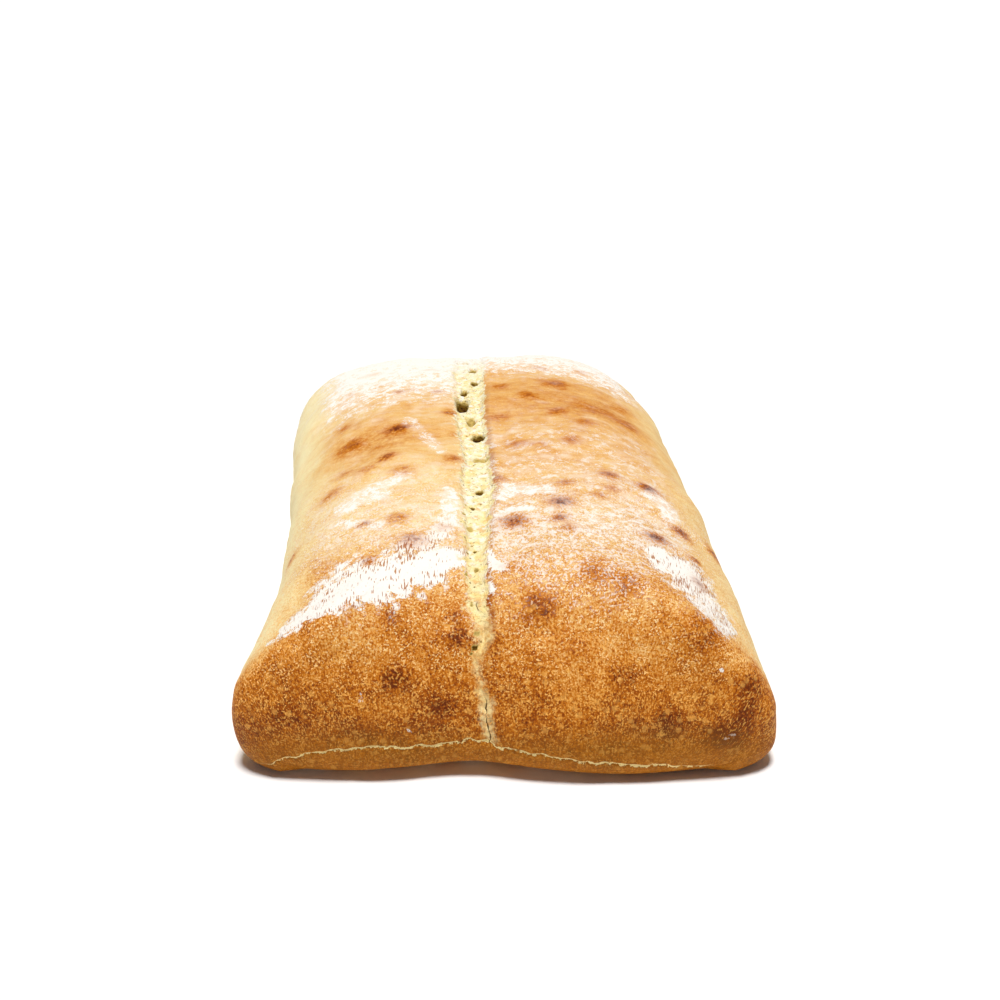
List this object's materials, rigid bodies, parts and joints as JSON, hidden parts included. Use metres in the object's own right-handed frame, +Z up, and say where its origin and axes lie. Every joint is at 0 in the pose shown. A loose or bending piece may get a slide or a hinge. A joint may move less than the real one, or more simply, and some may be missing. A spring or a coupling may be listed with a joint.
{
  "type": "ciabatta loaf",
  "caption": "Flat rustic white bread loaf, blunt at one end and rounded at the other, split lengthwise along its top, with a flat base to rest on.",
  "frame": {"origin": "under the middle of the loaf, at the middle of its box on the table", "axes": "+Z up, +Y along the loaf towards its rounded far end, +X to the right seen from the blunt end"},
  "size_m": [0.14, 0.2356, 0.0502],
  "materials": {
    "crust": "matte baked crust dusted with flour"
  },
  "bodies": {
    "root": {"loaf": "crust"}
  },
  "joints": []
}
